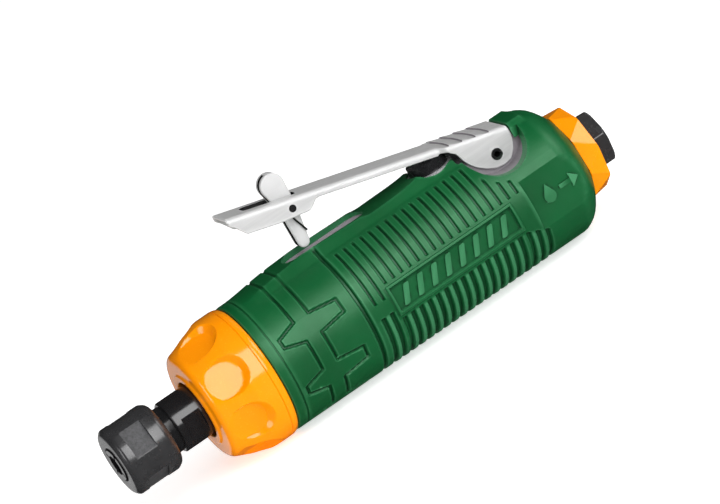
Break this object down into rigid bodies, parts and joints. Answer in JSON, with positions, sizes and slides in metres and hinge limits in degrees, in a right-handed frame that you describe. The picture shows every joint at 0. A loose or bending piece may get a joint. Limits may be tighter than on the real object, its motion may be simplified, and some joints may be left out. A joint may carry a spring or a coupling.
{
  "type": "air die grinder",
  "caption": "Straight air die grinder with a collet nut, ribbed grip sleeve, scooped front cap, safety lever with a folding latch, facetted exhaust ring and hexagonal air inlet.",
  "frame": {"origin": "centre of the collet bore's mouth", "axes": "+X along the spindle from the collet to the air inlet, +Z towards the throttle lever, +Y completes the right-handed frame"},
  "size_m": [0.17, 0.0418, 0.067],
  "materials": {
    "orange_plastic": "glossy moulded plastic",
    "green_grip": "satin over-moulded grip with a fine grain",
    "housing_alloy": "machined, fine brushed",
    "lever_plate": "pressed sheet, satin plated",
    "black_steel": "black oxide, satin",
    "dark_steel": "dark grey, satin",
    "bright_steel": "ground",
    "black_plastic": "satin moulded",
    "vane_composite": "resin laminate",
    "seal_rubber": "matte",
    "felt": "pressed felt",
    "brass_mesh": "plain"
  },
  "bodies": {
    "root": {"housing": "housing_alloy", "front_cap": "orange_plastic", "grip_sleeve": "green_grip", "front_plate": "bright_steel", "cylinder": "bright_steel", "rear_plate": "bright_steel", "dowel_pin": "bright_steel", "rear_gasket": "seal_rubber", "front_bearing_outer": "bright_steel", "rear_bearing_outer": "bright_steel", "valve_bushing": "bright_steel", "bushing_orings": "seal_rubber", "valve_spring": "bright_steel", "lever_pin": "black_steel", "inlet_bushing": "dark_steel", "inlet_oring": "seal_rubber", "inlet_screen": "brass_mesh"},
    "spindle": {"spindle": "black_steel", "collet": "black_steel", "rotor": "bright_steel", "vanes": "vane_composite", "front_bearing_inner": "bright_steel", "rear_bearing_inner": "bright_steel"},
    "collet_nut": {"collet_nut": "black_steel"},
    "lever": {"lever": "lever_plate", "latch_pin": "black_steel"},
    "latch": {"latch": "lever_plate", "latch_spring": "black_steel"},
    "valve": {"throttle_button": "black_plastic", "valve_stem": "bright_steel"},
    "exhaust_ring": {"exhaust_ring": "orange_plastic", "exhaust_felt": "felt"},
    "front_balls": {"front_bearing_balls": "bright_steel", "front_bearing_cage": "brass_mesh"},
    "rear_balls": {"rear_bearing_balls": "bright_steel", "rear_bearing_cage": "brass_mesh"}
  },
  "joints": [
    {"name": "spindle_spin", "type": "hinge", "parent": "root", "child": "spindle", "pos_m": [0.04, 0, 0], "axis": [1, 0, 0], "continuous": true},
    {"name": "collet_nut_turn", "type": "hinge", "parent": "spindle", "child": "collet_nut", "pos_m": [0.008, 0, 0], "axis": [-1, 0, 0], "range_deg": [0, 360]},
    {"name": "lever_press", "type": "hinge", "parent": "root", "child": "lever", "pos_m": [0.1388, 0, 0.01505], "axis": [0, -1, 0], "range_deg": [0, 9], "stiffness_Nm_per_rad": 0.6, "springref_deg": -17.19},
    {"name": "latch_fold", "type": "hinge", "parent": "lever", "child": "latch", "pos_m": [0.0796, 0, 0.035], "axis": [0, -1, 0], "range_deg": [0, 66], "stiffness_Nm_per_rad": 0.01, "springref_deg": -28.65, "deforming": ["latch_spring"]},
    {"name": "valve_press", "type": "slide", "parent": "root", "child": "valve", "axis": [0, 0, -1], "range_m": [0, 0.0027], "stiffness_N_per_m": 40, "springref_m": -0.004, "deforming": ["valve_spring"]},
    {"name": "exhaust_ring_turn", "type": "hinge", "parent": "root", "child": "exhaust_ring", "pos_m": [0.1617, 0, 0], "axis": [1, 0, 0], "continuous": true},
    {"name": "front_cage_spin", "type": "hinge", "parent": "root", "child": "front_balls", "pos_m": [0.0415, 0, 0], "axis": [1, 0, 0], "continuous": true},
    {"name": "rear_cage_spin", "type": "hinge", "parent": "root", "child": "rear_balls", "pos_m": [0.1, 0, 0], "axis": [1, 0, 0], "continuous": true}
  ],
  "couplings": [
    {"joint": "latch_fold", "follows": "lever_press", "ratio": 7.2},
    {"joint": "valve_press", "follows": "lever_press", "m_per_rad": 0.0168},
    {"joint": "front_cage_spin", "follows": "spindle_spin", "ratio": 0.368},
    {"joint": "rear_cage_spin", "follows": "spindle_spin", "ratio": 0.36}
  ]
}
